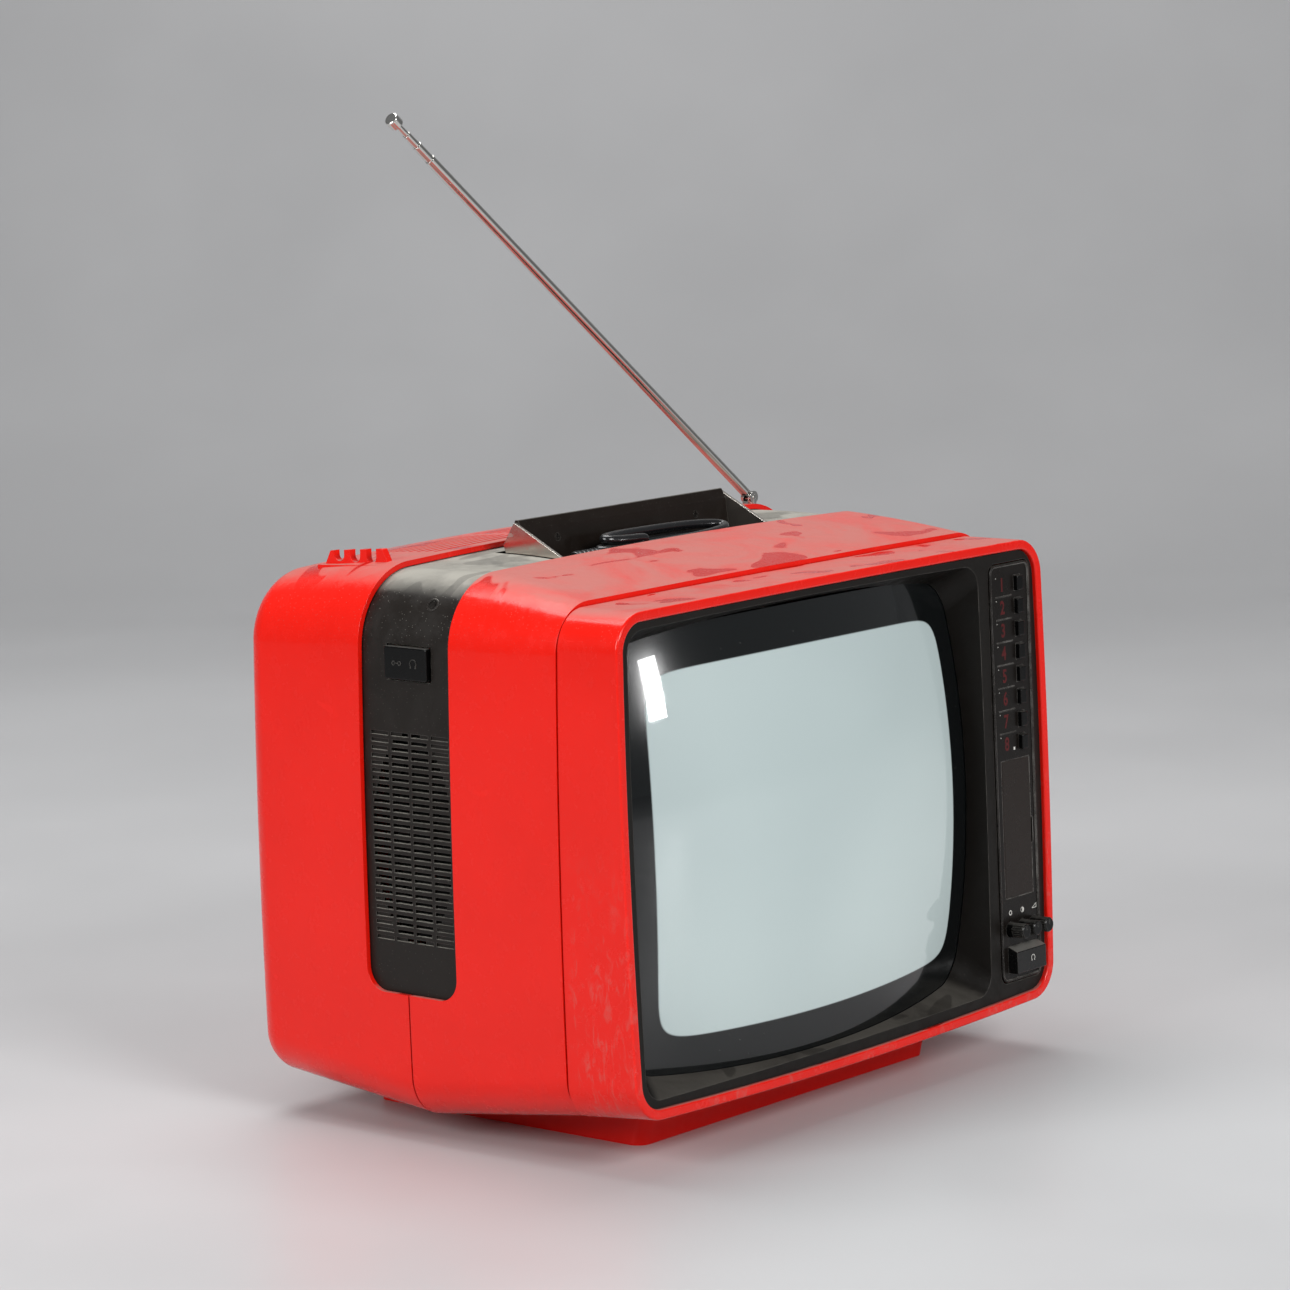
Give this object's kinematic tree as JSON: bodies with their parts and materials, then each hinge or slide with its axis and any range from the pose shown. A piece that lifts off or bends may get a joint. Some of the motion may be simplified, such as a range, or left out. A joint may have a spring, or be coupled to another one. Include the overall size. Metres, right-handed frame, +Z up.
{
  "type": "portable television",
  "caption": "Portable colour television with a rounded moulded case, dark vented band, fold-down carrying handle, telescopic antenna and a column of keys beside the screen.",
  "frame": {"origin": "centre of the pedestal's footprint, on the surface the set stands on", "axes": "+X to the viewer's right, +Y to the rear, +Z up; the screen faces -Y"},
  "size_m": [0.46, 0.3831, 0.6523],
  "materials": {
    "case_red": "slightly glossy moulded polystyrene, dusty on top",
    "base_red": "satin moulded plastic",
    "dark_plastic": "fine-textured brown-black plastic",
    "panel_plastic": "satin dark plastic",
    "button_plastic": "smooth black plastic",
    "screen_glass": "polished glass with grey phosphor behind",
    "tube_glass": "dark coated glass",
    "bright_metal": "polished chrome plate",
    "steel": "zinc-plated steel",
    "cable_rubber": "satin black PVC sheath",
    "foot_rubber": "matte rubber",
    "copper": "enamelled copper winding",
    "board": "phenolic circuit board with parts",
    "ceramic": "pale moulded plastic"
  },
  "bodies": {
    "case": {"aerial_socket": "ceramic", "anode_lead": "cable_rubber", "antenna_base": "button_plastic", "case_screws": "steel", "centre_band": "dark_plastic", "chassis_board": "board", "chassis_frame": "steel", "control_panel": "panel_plastic", "deflection_yoke": "copper", "degaussing_coil": "cable_rubber", "door_pin": "steel", "electron_gun": "steel", "foot_pads": "foot_rubber", "front_frame": "case_red", "handle_tray": "dark_plastic", "heat_sink": "steel", "key_board": "board", "line_transformer": "button_plastic", "loudspeaker": "steel", "main_shell": "case_red", "mains_cable": "cable_rubber", "mains_switch": "ceramic", "neck_board": "board", "pedestal": "base_red", "potentiometers": "steel", "rear_cover": "case_red", "screen_mask": "dark_plastic", "shadow_mask": "steel", "socket_block": "ceramic", "speaker_screws": "steel", "tube_clamp": "steel", "tube_faceplate": "screen_glass", "tube_funnel": "tube_glass", "tube_screws": "steel", "tuner_module": "steel", "tuning_presets": "ceramic"},
    "handle": {"handle_arms": "bright_metal", "handle_pins": "steel", "handle_grip": "dark_plastic", "handle_screws": "steel"},
    "antenna_swivel": {"antenna_knuckle": "bright_metal", "antenna_pin": "steel"},
    "antenna_outer": {"antenna_tube_1": "bright_metal"},
    "antenna_second": {"antenna_tube_2": "bright_metal"},
    "antenna_third": {"antenna_tube_3": "bright_metal"},
    "antenna_end": {"antenna_tube_4": "bright_metal"},
    "tuning_door": {"tuning_door": "panel_plastic"},
    "power_button": {"power_button": "button_plastic"},
    "knob_brightness": {"knob_brightness": "button_plastic"},
    "knob_contrast": {"knob_contrast": "button_plastic"},
    "knob_volume": {"knob_volume": "button_plastic"},
    "jack_cover": {"jack_cover": "button_plastic"},
    "key_1": {"key_1": "button_plastic"},
    "key_2": {"key_2": "button_plastic"},
    "key_3": {"key_3": "button_plastic"},
    "key_4": {"key_4": "button_plastic"},
    "key_5": {"key_5": "button_plastic"},
    "key_6": {"key_6": "button_plastic"},
    "key_7": {"key_7": "button_plastic"},
    "key_8": {"key_8": "button_plastic"}
  },
  "joints": [
    {"name": "handle_hinge", "type": "hinge", "parent": "case", "child": "handle", "pos_m": [0, -0.018, 0.3552], "axis": [1, 0, 0], "range_deg": [-20, 58]},
    {"name": "antenna_turn", "type": "hinge", "parent": "case", "child": "antenna_swivel", "pos_m": [0.195, 0.063, 0.3702], "axis": [0, 0, 1], "range_deg": [-180, 180]},
    {"name": "antenna_tilt", "type": "hinge", "parent": "antenna_swivel", "child": "antenna_outer", "pos_m": [0.195, 0.063, 0.3702], "axis": [0, 1, 0], "range_deg": [-35.7, 62.3]},
    {"name": "antenna_draw_2", "type": "slide", "parent": "antenna_outer", "child": "antenna_second", "axis": [-0.7912, 0, 0.6115], "range_m": [-0.012, 0.3]},
    {"name": "antenna_draw_3", "type": "slide", "parent": "antenna_second", "child": "antenna_third", "axis": [-0.7912, 0, 0.6115], "range_m": [-0.009, 0.3]},
    {"name": "antenna_draw_4", "type": "slide", "parent": "antenna_third", "child": "antenna_end", "axis": [-0.7912, 0, 0.6115], "range_m": [-0.008, 0.3]},
    {"name": "door_hinge", "type": "hinge", "parent": "case", "child": "tuning_door", "pos_m": [0.1771, -0.16436, 0.15704], "axis": [0, -0.027, -0.9996], "range_deg": [0, 100]},
    {"name": "power_press", "type": "slide", "parent": "case", "child": "power_button", "axis": [0, 0.9996, -0.027], "range_m": [0, 0.0035]},
    {"name": "cover_pull", "type": "slide", "parent": "case", "child": "jack_cover", "axis": [-1, 0, 0], "range_m": [0, 0.008]},
    {"name": "brightness_turn", "type": "hinge", "parent": "case", "child": "knob_brightness", "pos_m": [0.1798, -0.17062, 0.08818], "axis": [0, -0.9996, 0.027], "range_deg": [-135, 135]},
    {"name": "contrast_turn", "type": "hinge", "parent": "case", "child": "knob_contrast", "pos_m": [0.1932, -0.17062, 0.08818], "axis": [0, -0.9996, 0.027], "range_deg": [-135, 135]},
    {"name": "volume_turn", "type": "hinge", "parent": "case", "child": "knob_volume", "pos_m": [0.2068, -0.17062, 0.08818], "axis": [0, -0.9996, 0.027], "range_deg": [-135, 135]},
    {"name": "key_1_press", "type": "slide", "parent": "case", "child": "key_1", "axis": [0, 0.9996, -0.027], "range_m": [0, 0.0025]},
    {"name": "key_2_press", "type": "slide", "parent": "case", "child": "key_2", "axis": [0, 0.9996, -0.027], "range_m": [0, 0.0025]},
    {"name": "key_3_press", "type": "slide", "parent": "case", "child": "key_3", "axis": [0, 0.9996, -0.027], "range_m": [0, 0.0025]},
    {"name": "key_4_press", "type": "slide", "parent": "case", "child": "key_4", "axis": [0, 0.9996, -0.027], "range_m": [0, 0.0025]},
    {"name": "key_5_press", "type": "slide", "parent": "case", "child": "key_5", "axis": [0, 0.9996, -0.027], "range_m": [0, 0.0025]},
    {"name": "key_6_press", "type": "slide", "parent": "case", "child": "key_6", "axis": [0, 0.9996, -0.027], "range_m": [0, 0.0025]},
    {"name": "key_7_press", "type": "slide", "parent": "case", "child": "key_7", "axis": [0, 0.9996, -0.027], "range_m": [0, 0.0025]},
    {"name": "key_8_press", "type": "slide", "parent": "case", "child": "key_8", "axis": [0, 0.9996, -0.027], "range_m": [0, 0.0025]}
  ]
}
